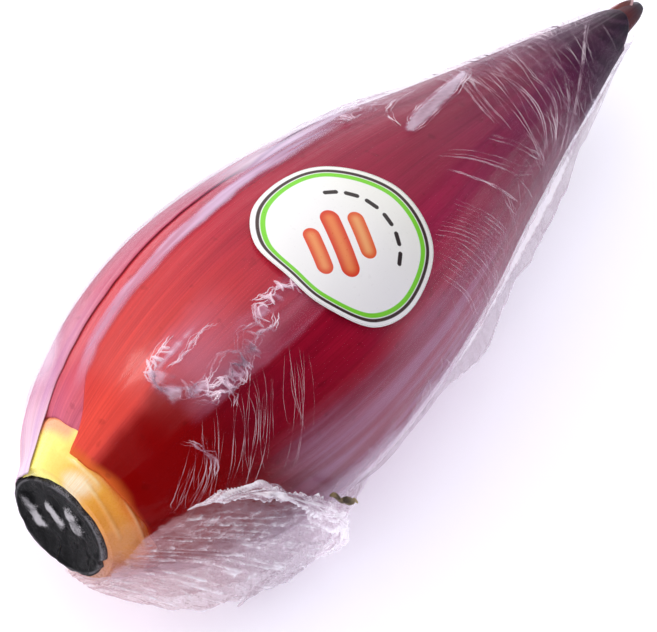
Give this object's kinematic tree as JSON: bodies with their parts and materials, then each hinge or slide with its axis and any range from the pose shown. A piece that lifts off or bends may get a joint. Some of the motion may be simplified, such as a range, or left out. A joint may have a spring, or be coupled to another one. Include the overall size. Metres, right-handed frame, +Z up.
{
  "type": "banana blossom",
  "caption": "Banana blossom as picked: short cut stalk and overlapping bracts closed to a point, lying on its side in clear film with a sticker.",
  "frame": {"origin": "middle of the bottom of the bounding box, on the surface that the blossom lies on", "axes": "+X along the blossom from the cut stalk to the tip, +Z up"},
  "size_m": [0.2798, 0.1053, 0.1026],
  "materials": {
    "bract_outer": "waxy crimson bract with fine lengthwise veins",
    "bract_dark": "waxy purple bract with fine lengthwise veins",
    "bract_coral": "waxy coral bract with fine lengthwise veins",
    "bract_tip": "matt red-brown bract, greyish at the point",
    "stalk": "smooth moist yellow stalk with pale scar lines",
    "cut_crust": "dried black cut face, partly glossy",
    "film": "clear cling film with folds",
    "sticker": "smooth white sticker with plain green and brown bands",
    "scrap": "dry brown floret scrap"
  },
  "bodies": {
    "root": {"bract_front": "bract_outer", "bract_under": "bract_dark", "bract_back": "bract_outer", "bract_top": "bract_coral", "bract_inner": "bract_tip", "bud": "bract_tip", "stalk": "stalk", "cut_crust": "cut_crust", "film": "film", "sticker": "sticker", "floret_scrap": "scrap"}
  },
  "joints": []
}
